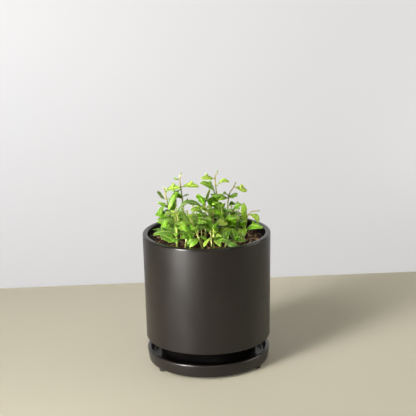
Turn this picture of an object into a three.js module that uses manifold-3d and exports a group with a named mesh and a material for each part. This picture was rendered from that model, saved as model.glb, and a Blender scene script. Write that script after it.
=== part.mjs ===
// A potted string of dolphins: a cylinder pot on a saucer with three pads, potting mix,
// and upright young shoots with curved, finned leaves.
// Millimetres, +Z up. The origin is on the floor, under the middle of the pot; -Y is the front.

import * as THREE from 'three';
import { mergeVertices } from 'three/addons/utils/BufferGeometryUtils.js';
import Module from 'manifold-3d';

const wasm = await Module();
wasm.setup();

// Fits
const GAP = 0.3; // clear space between pieces that touch
const ROUND_SIDES = 48; // facets round the pot, the saucer and the mix
const LIP_STEPS = 6; // facets over a rounded lip
const CORNER_STEPS = 3; // facets round a small corner

// Pads under the saucer
const PAD_RADIUS = 4.2;
const PAD_HEIGHT = 2.5;
const PAD_CIRCLE = 58; // from the pot's axis to a pad's middle
const PAD_ANGLES = { pad_left: 215.5, pad_right: 328.5, pad_rear: 92 }; // degrees from +X

// Saucer
const SAUCER_BASE = PAD_HEIGHT + GAP;
const SAUCER_FLOOR = SAUCER_BASE + 4;
const SAUCER_RIM = 16.5;
const SAUCER_RIM_RADIUS = 64.8;
const SAUCER_BASE_RADIUS = 63;
const SAUCER_WALL = 4;

// Pot
const POT_RIM = 140;
const POT_RIM_RADIUS = 66.5;
const POT_BASE = 28; // the outer wall ends here, clear of the saucer
const POT_BASE_RADIUS = 65.1;
const POT_WALL = 5.5;
const POT_FLOOR = POT_BASE + 6;
const POT_EDGE = 1.5; // rounding of the pot's lower outer edge
const POT_COVE = 6; // rounding where the wall meets the floor inside
const FOOT_RADIUS = 50; // narrower foot that stands in the saucer
const FOOT_WALL = 5;
const FOOT_BASE = SAUCER_FLOOR + GAP;
const DRAIN_RADIUS = 8;

// Potting mix
const MIX_TOP = 133;
const MIX_RINGS = 6;
const MIX_LUMP = 0.8; // height of the lumps in its surface
const MIX_TILT = 0.025; // it lies higher on the left

// Shoots
const STEM_RADIUS = 1.1;
const STEM_SIDES = 6;
const STEM_STEPS_PER_POINT = 2;
const STEM_ROOTED = 14; // length of a stem below the mix's surface
const LEAF_STATIONS = 10;
const LEAF_PETIOLE = 0.45; // half-width of the stalk
const LEAF_THICKNESS = 1.4;
const LEAF_CUP = 0.18; // how far the edges rise, as a share of the half-width
const FIN_OUT = 0.8;
const FIN_UP = 2;
const FIN_STATION = 5; // the station, out of LEAF_STATIONS, where the fins stand

// Each shoot has a route, from the mix upwards, and its leaves. A leaf has the place on the
// route where it starts (0 to 1), its tip, its width, its arch (rise of its middle over its
// length), its roll in degrees and the sides that carry a fin.
const SHOOTS = {
  left: {
    route: [[-38, 24, 133], [-38, 24, 141], [-39, 23, 152], [-40, 22, 163], [-42, 21, 173], [-43, 21, 180]],
    leaves: [
      { at: 0.99, tip: [-26, 14, 183], width: 6.5, arch: 0.05, roll: 35, fins: ['left'] },
      { at: 0.78, tip: [-51, 20, 179], width: 6, arch: -0.12, roll: -25, fins: [] },
      { at: 0.58, tip: [-50, 15, 168], width: 7.5, arch: 0.1, roll: 20, fins: ['right'] },
      { at: 0.34, tip: [-50, 16, 160], width: 8.5, arch: -0.12, roll: 35, fins: [] },
      { at: 0.42, tip: [-34, 14, 178], width: 7, arch: -0.1, roll: 10, fins: [] },
      { at: 0.28, tip: [-25, 5, 153], width: 8, arch: 0.2, roll: 30, fins: ['left'] },
    ],
  },
  tall_left: {
    route: [[-23, 27, 133], [-23, 26, 144], [-24, 25, 158], [-25, 24, 170], [-26, 24, 180], [-27, 23, 190],
      [-26, 23, 195]],
    leaves: [
      { at: 0.93, tip: [-32, 22, 193], width: 4.5, arch: -0.3, roll: 0, fins: [] },
      { at: 0.79, tip: [-7, 17, 183], width: 6, arch: 0.1, roll: 30, fins: ['left'] },
      { at: 0.6, tip: [-33, 15, 179], width: 8, arch: -0.08, roll: 25, fins: [] },
      { at: 0.62, tip: [-18, 26, 173], width: 5, arch: 0.05, roll: 0, fins: [] },
    ],
  },
  middle: {
    route: [[-1, -2, 133], [-1, -1, 148], [-1, 1, 162], [-1, 2, 173]],
    leaves: [
      { at: 0.97, tip: [4, -4, 186], width: 6, arch: 0.04, roll: 20, fins: [] },
      { at: 0.88, tip: [-8, -4, 181], width: 8, arch: 0.05, roll: 20, fins: ['right'] },
      { at: 0.6, tip: [-16, -8, 165], width: 7.5, arch: 0.22, roll: -30, fins: ['right'] },
    ],
  },
  tall_centre: {
    route: [[13, 9, 133], [13, 10, 147], [12, 10, 163], [11, 10, 179], [10, 10, 190], [10, 10, 196], [12, 9, 200]],
    leaves: [
      { at: 0.9, tip: [-5, 6, 195], width: 5.5, arch: 0.08, roll: -35, fins: ['right'] },
      { at: 0.79, tip: [25, 5, 191], width: 6, arch: 0.18, roll: 25, fins: [] },
      { at: 0.66, tip: [-6, 3, 191], width: 8, arch: 0.17, roll: -35, fins: ['right'] },
      { at: 0.56, tip: [10, -8, 178], width: 9, arch: 0.2, roll: 0, fins: ['left', 'right'] },
      { at: 0.43, tip: [4, -8, 178], width: 9.5, arch: 0.06, roll: 25, fins: [] },
    ],
  },
  tall_right: {
    route: [[25, 31, 133], [24, 30, 142], [23, 30, 157], [24, 29, 169], [26, 28, 175], [29, 28, 179], [31, 28, 183]],
    leaves: [
      { at: 0.93, tip: [43, 22, 176], width: 6, arch: 0.12, roll: 30, fins: ['left'] },
      { at: 0.72, tip: [33, 18, 173], width: 8, arch: 0.08, roll: 30, fins: [] },
      { at: 0.68, tip: [14, 23, 167], width: 6.5, arch: 0.2, roll: -25, fins: ['right'] },
    ],
  },
  right: {
    route: [[29, -8, 133], [28, -6, 148], [27, -4, 160], [26, -3, 166]],
    leaves: [
      { at: 0.9, tip: [37, -8, 170], width: 7.5, arch: 0.25, roll: 35, fins: [] },
      { at: 0.35, tip: [24, -19, 163], width: 9, arch: -0.08, roll: 10, fins: ['right'] },
      { at: 0.25, tip: [13, -28, 142], width: 9, arch: 0.28, roll: -15, fins: [] },
    ],
  },
  far_right: {
    route: [[38, -10, 133], [40, -8, 146], [42, -6, 155], [45, -5, 160], [49, -5, 162], [53, -5, 162]],
    leaves: [
      { at: 0.72, tip: [54, -14, 152], width: 6, arch: 0.3, roll: 20, fins: [] },
      { at: 0.5, tip: [38, -13, 174], width: 6.5, arch: -0.1, roll: 20, fins: ['left'] },
      { at: 0.25, tip: [58, -17, 147], width: 8, arch: 0.28, roll: 30, fins: ['left'] },
      { at: 0.3, tip: [36, -24, 138], width: 7.5, arch: 0.25, roll: 0, fins: [] },
    ],
  },
  front: {
    route: [[-4, -44, 133], [-8, -44, 145], [-11, -43, 154], [-15, -42, 163], [-19, -40, 171]],
    leaves: [
      { at: 0.97, tip: [-25, -42, 180], width: 5, arch: -0.1, roll: 0, fins: [] },
      { at: 0.58, tip: [1, -48, 162], width: 6, arch: 0.3, roll: 20, fins: ['left'] },
      { at: 0.25, tip: [-20, -48, 141], width: 6, arch: 0.3, roll: -25, fins: [] },
    ],
  },
  front_right: {
    route: [[7, -44, 133], [7, -44, 143], [7, -43, 153]],
    leaves: [
      { at: 0.96, tip: [12, -47, 163], width: 5, arch: 0.05, roll: 0, fins: [] },
      { at: 0.4, tip: [24, -46, 141], width: 7, arch: 0.25, roll: 30, fins: ['left'] },
    ],
  },
  front_left: {
    route: [[-30, -36, 133], [-30, -36, 144], [-30, -35, 155], [-31, -33, 165], [-30, -32, 172]],
    leaves: [
      { at: 0.98, tip: [-4, -37, 176], width: 8, arch: 0.28, roll: 20, fins: ['right'] },
      { at: 0.55, tip: [-15, -42, 151], width: 7.5, arch: 0.28, roll: 30, fins: ['left'] },
      { at: 0.4, tip: [-54, -33, 147], width: 7, arch: 0.12, roll: -30, fins: ['right'] },
      { at: 0.15, tip: [-47, -27, 145], width: 9, arch: 0.1, roll: -35, fins: [] },
    ],
  },
  back: {
    route: [[4, 39, 133], [4, 38, 146], [6, 38, 157]],
    leaves: [
      { at: 0.97, tip: [16, 44, 166], width: 6, arch: 0.1, roll: 20, fins: ['left'] },
      { at: 0.65, tip: [-12, 44, 154], width: 7.5, arch: 0.28, roll: -10, fins: ['right'] },
      { at: 0.35, tip: [18, 30, 150], width: 8, arch: 0.25, roll: 0, fins: [] },
    ],
  },
  centre: {
    route: [[8, -12, 133], [8, -12, 145], [7, -12, 156], [7, -12, 165]],
    leaves: [
      { at: 0.15, tip: [2, -21, 163], width: 8, arch: -0.12, roll: 0, fins: [] },
      { at: 0.6, tip: [22, -22, 153], width: 8, arch: 0.2, roll: 35, fins: ['left'] },
    ],
  },
};

const SURFACES = {
  pot: { color: '#3a3632', roughness: 0.55, metalness: 0 },
  saucer: { color: '#35312e', roughness: 0.45, metalness: 0 },
  pad: { color: '#161514', roughness: 0.9, metalness: 0 },
  mix: { color: '#2c1c12', roughness: 1, metalness: 0 },
  stem: { color: '#b9b96a', roughness: 0.6, metalness: 0 },
  leaf: { color: '#5f9a2e', roughness: 0.5, metalness: 0 },
};

// The point [x, y] of a circle about the axis, at an angle from +X
function onCircle(radius, degrees) {
  const angle = THREE.MathUtils.degToRad(degrees);
  return [radius * Math.cos(angle), radius * Math.sin(angle)];
}

// Points of an arc in the lathe's (radius, height) plane
function arc(r, z, radius, fromDegrees, toDegrees, steps) {
  const points = [];
  for (let i = 0; i <= steps; i += 1) {
    const [dr, dz] = onCircle(radius, fromDegrees + ((toDegrees - fromDegrees) * i) / steps);
    points.push([r + dr, z + dz]);
  }
  return points;
}

// A body turned about +Z from a profile of [radius, height] points, listed upwards on the outside
function turned(profile) {
  const geometry = new THREE.LatheGeometry(profile.map(([r, z]) => new THREE.Vector2(r, z)), ROUND_SIDES);
  geometry.rotateX(Math.PI / 2);
  return geometry;
}

// One merged, position-only geometry
function welded(geometry) {
  const bare = geometry.clone();
  bare.deleteAttribute('normal');
  bare.deleteAttribute('uv');
  return mergeVertices(bare, 1e-4);
}

function toSolid(geometry) {
  const merged = welded(geometry);
  return new wasm.Manifold(new wasm.Mesh({
    numProp: 3,
    vertProperties: new Float32Array(merged.attributes.position.array),
    triVerts: new Uint32Array(merged.index.array),
  }));
}

function toGeometry(solid) {
  const mesh = solid.getMesh();
  const geometry = new THREE.BufferGeometry();
  geometry.setAttribute('position', new THREE.BufferAttribute(new Float32Array(mesh.vertProperties), 3));
  geometry.setIndex(new THREE.BufferAttribute(new Uint32Array(mesh.triVerts), 1));
  geometry.computeVertexNormals();
  return geometry;
}

function sub(name, geometry, surface) {
  const mesh = new THREE.Mesh(geometry, new THREE.MeshStandardMaterial(SURFACES[surface]));
  mesh.name = name;
  return mesh;
}

function pad(name, degrees) {
  const geometry = new THREE.CylinderGeometry(PAD_RADIUS, PAD_RADIUS, PAD_HEIGHT, 16);
  geometry.rotateX(Math.PI / 2);
  const mesh = sub(name, geometry, 'pad');
  const [x, y] = onCircle(PAD_CIRCLE, degrees);
  mesh.position.set(x, y, PAD_HEIGHT / 2);
  return mesh;
}

function saucer() {
  const lip = SAUCER_WALL / 2;
  const edge = 1.5;
  const profile = [
    [0, SAUCER_BASE],
    ...arc(SAUCER_BASE_RADIUS - edge, SAUCER_BASE + edge, edge, -90, 0, CORNER_STEPS),
    ...arc(SAUCER_RIM_RADIUS - lip, SAUCER_RIM - lip, lip, 0, 180, LIP_STEPS),
    ...arc(SAUCER_BASE_RADIUS - SAUCER_WALL - edge, SAUCER_FLOOR + edge, edge, 0, -90, CORNER_STEPS),
    [0, SAUCER_FLOOR],
  ];
  return sub('saucer', turned(profile), 'saucer');
}

function pot() {
  const lip = POT_WALL / 2;
  const inside = POT_BASE_RADIUS - POT_WALL - POT_COVE;
  const profile = [
    [DRAIN_RADIUS, POT_BASE],
    [FOOT_RADIUS - FOOT_WALL, POT_BASE],
    [FOOT_RADIUS - FOOT_WALL, FOOT_BASE],
    [FOOT_RADIUS, FOOT_BASE],
    [FOOT_RADIUS, POT_BASE],
    ...arc(POT_BASE_RADIUS - POT_EDGE, POT_BASE + POT_EDGE, POT_EDGE, -90, 0, CORNER_STEPS),
    ...arc(POT_RIM_RADIUS - lip, POT_RIM - lip, lip, 0, 180, LIP_STEPS),
    ...arc(inside, POT_FLOOR + POT_COVE, POT_COVE, 0, -90, CORNER_STEPS),
    [DRAIN_RADIUS, POT_FLOOR],
    [DRAIN_RADIUS, POT_BASE],
  ];
  return sub('pot', turned(profile), 'pot');
}

// Radius of the pot's inner wall at a height above its cove
function innerRadius(z) {
  const share = (z - POT_BASE) / (POT_RIM - POT_BASE);
  return THREE.MathUtils.lerp(POT_BASE_RADIUS, POT_RIM_RADIUS, share) - POT_WALL;
}

// Height of the mix's lumpy surface
function mixHeight(x, y) {
  const lumps = Math.sin(x / 6 + 1) * Math.cos(y / 7) + 0.5 * Math.sin((x + y) / 3);
  return MIX_TOP + MIX_LUMP * lumps - MIX_TILT * x;
}

function pottingMix() {
  const top = innerRadius(MIX_TOP) - GAP;
  const cove = POT_COVE + GAP;
  const profile = [
    [0, POT_FLOOR + GAP],
    ...arc(POT_BASE_RADIUS - POT_WALL - GAP - cove, POT_FLOOR + GAP + cove, cove, -90, 0, CORNER_STEPS),
  ];
  for (let ring = MIX_RINGS; ring >= 0; ring -= 1) profile.push([(top * ring) / MIX_RINGS, MIX_TOP]);
  const geometry = turned(profile);
  const position = geometry.attributes.position;
  for (let i = 0; i < position.count; i += 1) {
    const atTop = Math.abs(position.getZ(i) - MIX_TOP) < GAP;
    if (atTop) position.setZ(i, mixHeight(position.getX(i), position.getY(i)));
  }
  let solid = toSolid(geometry);
  for (const { route } of Object.values(SHOOTS)) {
    solid = solid.subtract(toSolid(tube(route, STEM_RADIUS + GAP, STEM_ROOTED + GAP)));
  }
  return sub('potting_mix', toGeometry(solid), 'mix');
}

// A shoot's route, carried on downwards into the mix
function stemCurve(route, rooted) {
  const points = route.map((point) => new THREE.Vector3(...point));
  const lean = points[1].clone().sub(points[0]).normalize();
  return new THREE.CatmullRomCurve3([points[0].clone().addScaledVector(lean, -rooted), ...points]);
}

function tube(route, radius, rooted) {
  const outline = new THREE.Path().absarc(0, 0, radius, 0, 2 * Math.PI).getSpacedPoints(STEM_SIDES);
  const section = new THREE.Shape(outline.slice(0, STEM_SIDES));
  const steps = STEM_STEPS_PER_POINT * route.length;
  return new THREE.ExtrudeGeometry(section, { steps, extrudePath: stemCurve(route, rooted) });
}

// Half-width of the blade, as a share of the widest, along the leaf from 0 to 1
function bladeShare(t) {
  return Math.sin(Math.PI * Math.min(1, t) ** 0.85) ** 0.8;
}

// A leaf: a barrel of four-sided rings, laid along a curve from its stem to its tip
function leafGeometry(start, spec) {
  const tip = new THREE.Vector3(...spec.tip);
  const up = new THREE.Vector3(0, 0, 1);
  const chord = tip.clone().sub(start).normalize();
  const across = chord.clone().cross(up).normalize();
  across.applyAxisAngle(chord, THREE.MathUtils.degToRad(spec.roll));
  const rise = across.clone().cross(chord);
  const outward = new THREE.Vector3(chord.x, chord.y, 0).normalize();
  const foot = start.clone().addScaledVector(outward, STEM_RADIUS + GAP + LEAF_PETIOLE);
  const length = foot.distanceTo(tip);
  const middle = foot.clone().lerp(tip, 0.5).addScaledVector(rise, 2 * spec.arch * length);
  const line = new THREE.QuadraticBezierCurve3(foot, middle, tip);

  const geometry = new THREE.CylinderGeometry(1, 1, 1, 4, LEAF_STATIONS);
  const position = geometry.attributes.position;
  for (let i = 0; i < position.count; i += 1) {
    const t = position.getY(i) + 0.5;
    const along = line.getTangent(t);
    const normal = across.clone().cross(along).normalize();
    const share = bladeShare(t);
    const halfWidth = Math.max(LEAF_PETIOLE, (share * spec.width) / 2);
    const halfThick = Math.max(LEAF_PETIOLE, (share * LEAF_THICKNESS) / 2);
    const side = position.getX(i);
    const point = line.getPoint(t)
      .addScaledVector(across, side * halfWidth)
      .addScaledVector(normal, position.getZ(i) * halfThick + side * side * halfWidth * LEAF_CUP);
    const finned = (side > 0.5 && spec.fins.includes('right')) || (side < -0.5 && spec.fins.includes('left'));
    if (finned && Math.round(t * LEAF_STATIONS) === FIN_STATION) {
      point.addScaledVector(across, Math.sign(side) * FIN_OUT).addScaledVector(normal, FIN_UP);
    }
    position.setXYZ(i, point.x, point.y, point.z);
  }
  return geometry;
}

function shoot(name, { route, leaves }) {
  const group = new THREE.Group();
  group.add(sub(`stem_${name}`, tube(route, STEM_RADIUS, STEM_ROOTED), 'stem'));
  const curve = stemCurve(route, STEM_ROOTED);
  const rooted = STEM_ROOTED / curve.getLength();
  leaves.forEach((spec, index) => {
    const start = curve.getPointAt(rooted + (1 - rooted) * spec.at);
    group.add(sub(`leaf_${name}_${index + 1}`, leafGeometry(start, spec), 'leaf'));
  });
  return group;
}

const group = new THREE.Group();
group.add(pot(), saucer(), pottingMix());
for (const [name, degrees] of Object.entries(PAD_ANGLES)) group.add(pad(name, degrees));
for (const [name, spec] of Object.entries(SHOOTS)) group.add(shoot(name, spec));

export default group;
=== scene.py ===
"""The looks of a potted string of dolphins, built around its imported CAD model.

The pot, its saucer, the pads and the potting mix are turned shapes. Every stem and leaf takes its
place from its own CAD solid, and more leaves grow along the stems by the plant's habit.
Blender units are metres; sizes here are in millimetres and multiplied by MM where they are used.
"""

import logging
import math
import random
from collections.abc import Callable, Iterator, Sequence
from contextlib import contextmanager
from dataclasses import dataclass, field
from enum import Enum

import bmesh
import bpy
import numpy as np
from bmesh.types import BMesh, BMVert
from bpy.types import Material, Mesh, Node, NodeSocket, NodeTree, Object
from mathutils import Matrix, Vector, noise


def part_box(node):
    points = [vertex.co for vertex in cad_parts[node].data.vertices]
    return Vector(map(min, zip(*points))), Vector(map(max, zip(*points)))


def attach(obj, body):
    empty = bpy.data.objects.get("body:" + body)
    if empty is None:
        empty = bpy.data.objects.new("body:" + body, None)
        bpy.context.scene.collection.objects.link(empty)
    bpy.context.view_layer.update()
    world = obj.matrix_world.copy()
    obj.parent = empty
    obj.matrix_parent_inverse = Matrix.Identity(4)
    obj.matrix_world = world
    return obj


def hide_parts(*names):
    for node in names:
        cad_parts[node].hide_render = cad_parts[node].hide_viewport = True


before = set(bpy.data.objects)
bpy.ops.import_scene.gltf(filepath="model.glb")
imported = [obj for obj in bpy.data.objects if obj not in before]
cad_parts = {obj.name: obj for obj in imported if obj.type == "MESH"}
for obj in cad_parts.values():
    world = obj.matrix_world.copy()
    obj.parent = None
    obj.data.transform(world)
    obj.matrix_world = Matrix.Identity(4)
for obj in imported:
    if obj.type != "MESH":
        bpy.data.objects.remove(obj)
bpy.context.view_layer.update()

log = logging.getLogger("potted_string_of_dolphins")

MM = 0.001
BODY = "root"
ROUND_SIDES = 160  # facets round the pot and the saucer
SMOOTH_ANGLE = math.radians(40)  # sharper edges than this stay sharp
GOLDEN_ANGLE = math.radians(137.5)  # turn from one leaf to the next along a stem

Points = np.ndarray


# ---------------------------------------------------------------------------------------------
# Modelling helpers
# ---------------------------------------------------------------------------------------------


class Domain(Enum):
    """What an edit-mode selection is made of."""

    VERT = "VERT"
    EDGE = "EDGE"
    FACE = "FACE"


def only(obj: Object) -> None:
    """Makes one object the selected and active one.

    Args:
        obj: the object.
    """
    bpy.ops.object.select_all(action="DESELECT")
    obj.select_set(True)
    bpy.context.view_layer.objects.active = obj


@contextmanager
def editing(obj: Object) -> Iterator[None]:
    """Edit mode on one object, left again at the end.

    Args:
        obj: the mesh object to edit.

    Yields:
        Nothing, while edit mode is on.
    """
    only(obj)
    bpy.ops.object.mode_set(mode="EDIT")
    try:
        yield
    finally:
        bpy.ops.object.mode_set(mode="OBJECT")


def pick(obj: Object, domain: Domain, test: Callable[[Vector], bool]) -> None:
    """Selects, in edit mode, only the elements whose middle passes a test.

    Args:
        obj: the object being edited.
        domain: vertices, edges or faces.
        test: is given the middle of each element, in metres.
    """
    bpy.ops.mesh.select_mode(type=domain.value)
    bpy.ops.mesh.select_all(action="DESELECT")
    shape = bmesh.from_edit_mesh(obj.data)
    if domain is Domain.VERT:
        for vert in shape.verts:
            vert.select_set(test(vert.co))
    elif domain is Domain.EDGE:
        for edge in shape.edges:
            edge.select_set(test((edge.verts[0].co + edge.verts[1].co) / 2))
    else:
        for face in shape.faces:
            face.select_set(test(face.calc_center_median()))
    shape.select_flush_mode()
    bmesh.update_edit_mesh(obj.data)


def on_ring(radius: float, height: float, slack: float = 0.3) -> Callable[[Vector], bool]:
    """A test for what lies on a horizontal circle about the axis.

    Args:
        radius: of the circle, in millimetres.
        height: of the circle, in millimetres.
        slack: how far from it still counts, in millimetres.

    Returns:
        A function that is true for points on the circle.
    """

    def test(point: Vector) -> bool:
        """True near the circle."""
        off_radius = abs(math.hypot(point.x, point.y) - radius * MM)
        return off_radius < slack * MM and abs(point.z - height * MM) < slack * MM

    return test


def in_disc(height: float, radius: float) -> Callable[[Vector], bool]:
    """A test for a flat face on the axis.

    Args:
        height: of the face, in millimetres.
        radius: how far from the axis its middle may lie, in millimetres.

    Returns:
        A function that is true for the middle of such a face.
    """

    def test(point: Vector) -> bool:
        """True on the axis at the height."""
        near_axis = math.hypot(point.x, point.y) < radius * MM
        return near_axis and abs(point.z - height * MM) < 0.05 * MM

    return test


def extrude_up(distance: float) -> None:
    """Extrudes the selected faces along +Z by a distance in millimetres (down if negative)."""
    bpy.ops.mesh.extrude_region_move(TRANSFORM_OT_translate={"value": (0, 0, distance * MM)})


def widen(factor: float, height: float) -> None:
    """Scales the selection about the axis, from a centre at a height in millimetres."""
    bpy.ops.transform.resize(value=(factor, factor, 1), center_override=(0, 0, height * MM))


def round_ring(obj: Object, radius: float, height: float, size: float, steps: int) -> None:
    """Bevels the edges on a circle, with a size in millimetres and some steps over the bevel."""
    pick(obj, Domain.EDGE, on_ring(radius, height))
    bpy.ops.mesh.bevel(offset=size * MM, segments=steps, profile=0.5, affect="EDGES")


def glaze_faces(obj: Object, slot: int, test: Callable[[Vector], bool]) -> None:
    """Gives the faces that pass a test another of the object's materials.

    Args:
        obj: the object being edited.
        slot: number of the material.
        test: is given the middle of each face, in metres.
    """
    pick(obj, Domain.FACE, test)
    obj.active_material_index = slot
    bpy.ops.object.material_slot_assign()


def join(parts: list[Object], name: str) -> Object:
    """Makes one object of several.

    Args:
        parts: one object or more.
        name: of the joined object.

    Returns:
        The joined object.
    """
    bpy.ops.object.select_all(action="DESELECT")
    for part in parts:
        part.select_set(True)
    bpy.context.view_layer.objects.active = parts[0]
    if len(parts) > 1:
        bpy.ops.object.join()
    parts[0].name = name
    return parts[0]


def new_primitive(add: Callable[..., set[str]], name: str, **options: object) -> Object:
    """Adds a primitive, names it and applies its place.

    Args:
        add: the operator that adds it.
        name: of the new object.
        **options: passed on to the operator.

    Returns:
        The new object, with its place in its mesh.
    """
    bpy.ops.object.select_all(action="DESELECT")
    add(**options)
    obj = bpy.context.active_object
    obj.name = name
    obj.data.name = name
    bpy.ops.object.transform_apply(location=True, rotation=True, scale=True)
    return obj


def finish_piece(obj: Object, node: str | None = None) -> None:
    """Smooths a piece and ties it to the frame.

    Args:
        obj: the finished piece.
        node: the CAD node that it stands for, if any.
    """
    only(obj)
    bpy.ops.object.shade_smooth_by_angle(angle=SMOOTH_ANGLE)
    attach(obj, BODY)
    if node:
        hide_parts(node)


def mark(obj: Object, name: str, values: Sequence[float] | Points | float) -> None:
    """Writes a number on every point of a mesh, for its material to read.

    Args:
        obj: the piece.
        name: of the attribute.
        values: one number for each point, or one for them all.
    """
    count = len(obj.data.vertices)
    numbers = np.broadcast_to(np.asarray(values, dtype=np.float32), (count,))
    attribute = obj.data.attributes.new(name, "FLOAT", "POINT")
    attribute.data.foreach_set("value", np.ascontiguousarray(numbers))


def points_of(mesh: Mesh) -> Points:
    """Reads a mesh's points.

    Args:
        mesh: the mesh.

    Returns:
        Rows of x, y and z, in metres.
    """
    flat = np.empty(len(mesh.vertices) * 3)
    mesh.vertices.foreach_get("co", flat)
    return flat.reshape(-1, 3)


def set_points(mesh: Mesh, points: Points) -> None:
    """Moves a mesh's points to new places."""
    mesh.vertices.foreach_set("co", np.ascontiguousarray(points).ravel())
    mesh.update()


# ---------------------------------------------------------------------------------------------
# Finishes
# ---------------------------------------------------------------------------------------------


def linear(hex_colour: str) -> tuple[float, float, float, float]:
    """Turns an sRGB hex colour into linear numbers.

    Args:
        hex_colour: "#RRGGBB".

    Returns:
        Red, green, blue and alpha for a shader socket.
    """
    channels = [int(hex_colour[i : i + 2], 16) / 255 for i in (1, 3, 5)]
    low = [c / 12.92 if c <= 0.04045 else ((c + 0.055) / 1.055) ** 2.4 for c in channels]
    return (low[0], low[1], low[2], 1.0)


def add_node(
    tree: NodeTree, kind: str, inputs: dict[str | int, object] | None = None, **settings: object
) -> Node:
    """Adds a shader node with its settings and links.

    Args:
        tree: the material's node tree.
        kind: the node's type name, without "ShaderNode".
        inputs: socket name or number to a value, or to a socket that is linked to it.
        **settings: the node's own properties.

    Returns:
        The new node.
    """
    node = tree.nodes.new(f"ShaderNode{kind}")
    for key, value in settings.items():
        setattr(node, key, value)
    for key, value in (inputs or {}).items():
        if isinstance(value, NodeSocket):
            tree.links.new(value, node.inputs[key])
        else:
            node.inputs[key].default_value = value
    return node


def per_mm(size: float) -> float:
    """The scale of a noise whose features are about size millimetres, on Object coordinates."""
    return 1 / (size * MM)


class Finish:
    """A surface finish. Each kind adds the nodes of its own material, made once."""

    title: str

    def material(self) -> Material:
        """The material of this finish, made at its first use.

        Returns:
            The material, shared by all pieces with this finish.
        """
        found = bpy.data.materials.get(self.title)
        if found:
            return found
        made = bpy.data.materials.new(self.title)
        made.use_nodes = True
        made.node_tree.nodes.clear()
        shader = self.shader(made.node_tree)
        add_node(made.node_tree, "OutputMaterial", {"Surface": shader.outputs["BSDF"]})
        return made

    def shader(self, tree: NodeTree) -> Node:
        """Adds the finish's own nodes and gives back its Principled shader."""
        raise NotImplementedError

    def put_on(self, obj: Object) -> None:
        """Gives a piece this finish as its next material."""
        obj.data.materials.append(self.material())


@dataclass(frozen=True)
class MatteGlaze(Finish):
    """Charcoal matt stoneware glaze, sprayed and fired.

    A matt glaze scatters light from tiny crystals, so it gives a broad soft sheen with a faint
    mottle where the spray lay thicker, and a very fine orange peel.
    """

    title: str = "matt_stoneware_glaze"
    thick: str = "#140F0C"
    thin: str = "#100C0A"
    roughness: float = 0.34
    mottle_mm: float = 14.0
    peel_mm: float = 1.1
    peel_depth_mm: float = 0.02
    ior: float = 1.44

    def shader(self, tree: NodeTree) -> Node:
        """Mottled colour, uneven gloss and an orange-peel bump.

        Args:
            tree: the material's node tree.

        Returns:
            Its Principled shader.
        """
        place = add_node(tree, "TexCoord").outputs["Object"]
        pooling = {"Vector": place, "Scale": per_mm(self.mottle_mm), "Detail": 5.0}
        mottle = add_node(tree, "TexNoise", pooling).outputs["Fac"]
        peeling = {"Vector": place, "Scale": per_mm(self.peel_mm), "Detail": 2.0}
        peel = add_node(tree, "TexNoise", peeling).outputs["Fac"]
        colour = add_node(tree, "ValToRGB", {"Fac": mottle})
        thin, thick = colour.color_ramp.elements
        thin.position, thin.color = 0.35, linear(self.thin)
        thick.position, thick.color = 0.68, linear(self.thick)
        gloss = add_node(
            tree,
            "MapRange",
            {
                "Value": mottle,
                "From Min": 0.3,
                "From Max": 0.7,
                "To Min": self.roughness - 0.04,
                "To Max": self.roughness + 0.05,
            },
        )
        bump = add_node(tree, "Bump", {"Height": peel, "Distance": self.peel_depth_mm * MM})
        return add_node(
            tree,
            "BsdfPrincipled",
            {
                "Base Color": colour.outputs["Color"],
                "Roughness": gloss.outputs["Result"],
                "Normal": bump.outputs["Normal"],
                "IOR": self.ior,
            },
        )


@dataclass(frozen=True)
class GlossGlaze(MatteGlaze):
    """Black gloss glaze inside the saucer, poured so that it holds water.

    It is glassy: it mirrors the light at low angles, in ripples where it pooled. It also covers
    the pot's underside. Its black is a shade darker than the matt glaze's: painted shade for the
    gap under the pot, where the foot and the saucer's inside lie in shadow.
    """

    title: str = "gloss_stoneware_glaze"
    # thick and thin are set darker than the matt glaze's, as painted shade for the shaded gap under
    # the pot
    thick: str = "#0B0A0A"
    thin: str = "#060505"
    roughness: float = 0.2
    peel_mm: float = 2.6
    peel_depth_mm: float = 0.16
    ior: float = 1.25


@dataclass(frozen=True)
class WornGlaze(MatteGlaze):
    """The same charcoal glaze on a lip, rubbed smoother by hands and cloths, so it glints."""

    title: str = "worn_lip_glaze"
    roughness: float = 0.2


@dataclass(frozen=True)
class PadRubber(Finish):
    """Die-cut black rubber: dull, with a fine grain and a little dust."""

    title: str = "die_cut_rubber"
    colour: str = "#171615"
    dust: str = "#2A2826"
    grain_mm: float = 0.5

    def shader(self, tree: NodeTree) -> Node:
        """Dusty colour over a fine grain.

        Args:
            tree: the material's node tree.

        Returns:
            Its Principled shader.
        """
        place = add_node(tree, "TexCoord").outputs["Object"]
        graining = {"Vector": place, "Scale": per_mm(self.grain_mm), "Detail": 3.0}
        grain = add_node(tree, "TexNoise", graining).outputs["Fac"]
        tones = {"Factor": grain, "A": linear(self.colour), "B": linear(self.dust)}
        colour = add_node(tree, "Mix", tones, data_type="RGBA")
        bump = add_node(tree, "Bump", {"Height": grain, "Distance": 0.05 * MM})
        return add_node(
            tree,
            "BsdfPrincipled",
            {
                "Base Color": colour.outputs["Result"],
                "Roughness": 0.8,
                "Normal": bump.outputs["Normal"],
            },
        )


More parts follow.
